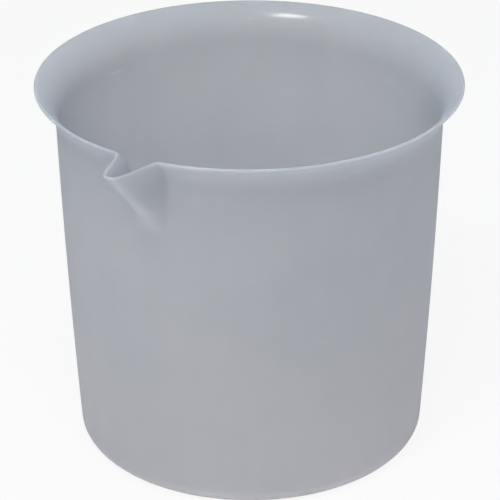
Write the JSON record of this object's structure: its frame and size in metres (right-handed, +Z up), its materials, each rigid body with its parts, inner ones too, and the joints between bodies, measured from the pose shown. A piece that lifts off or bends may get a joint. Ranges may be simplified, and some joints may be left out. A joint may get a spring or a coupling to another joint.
{
  "type": "laboratory beaker",
  "caption": "Low, wide plastic laboratory beaker with a tapered wall, a flared rim and one pressed pouring spout.",
  "frame": {"origin": "centre of the flat underside, on the axis of the round vessel, where the beaker stands", "axes": "+Z up along the vessel's axis, -Y along the pouring spout, +X to the right of someone who faces the spout"},
  "size_m": [0.2202, 0.2455, 0.2],
  "materials": {
    "natural_plastic": "satin, unpigmented translucent plastic, cool grey-white"
  },
  "bodies": {
    "root": {"beaker_body": "natural_plastic"}
  },
  "joints": []
}
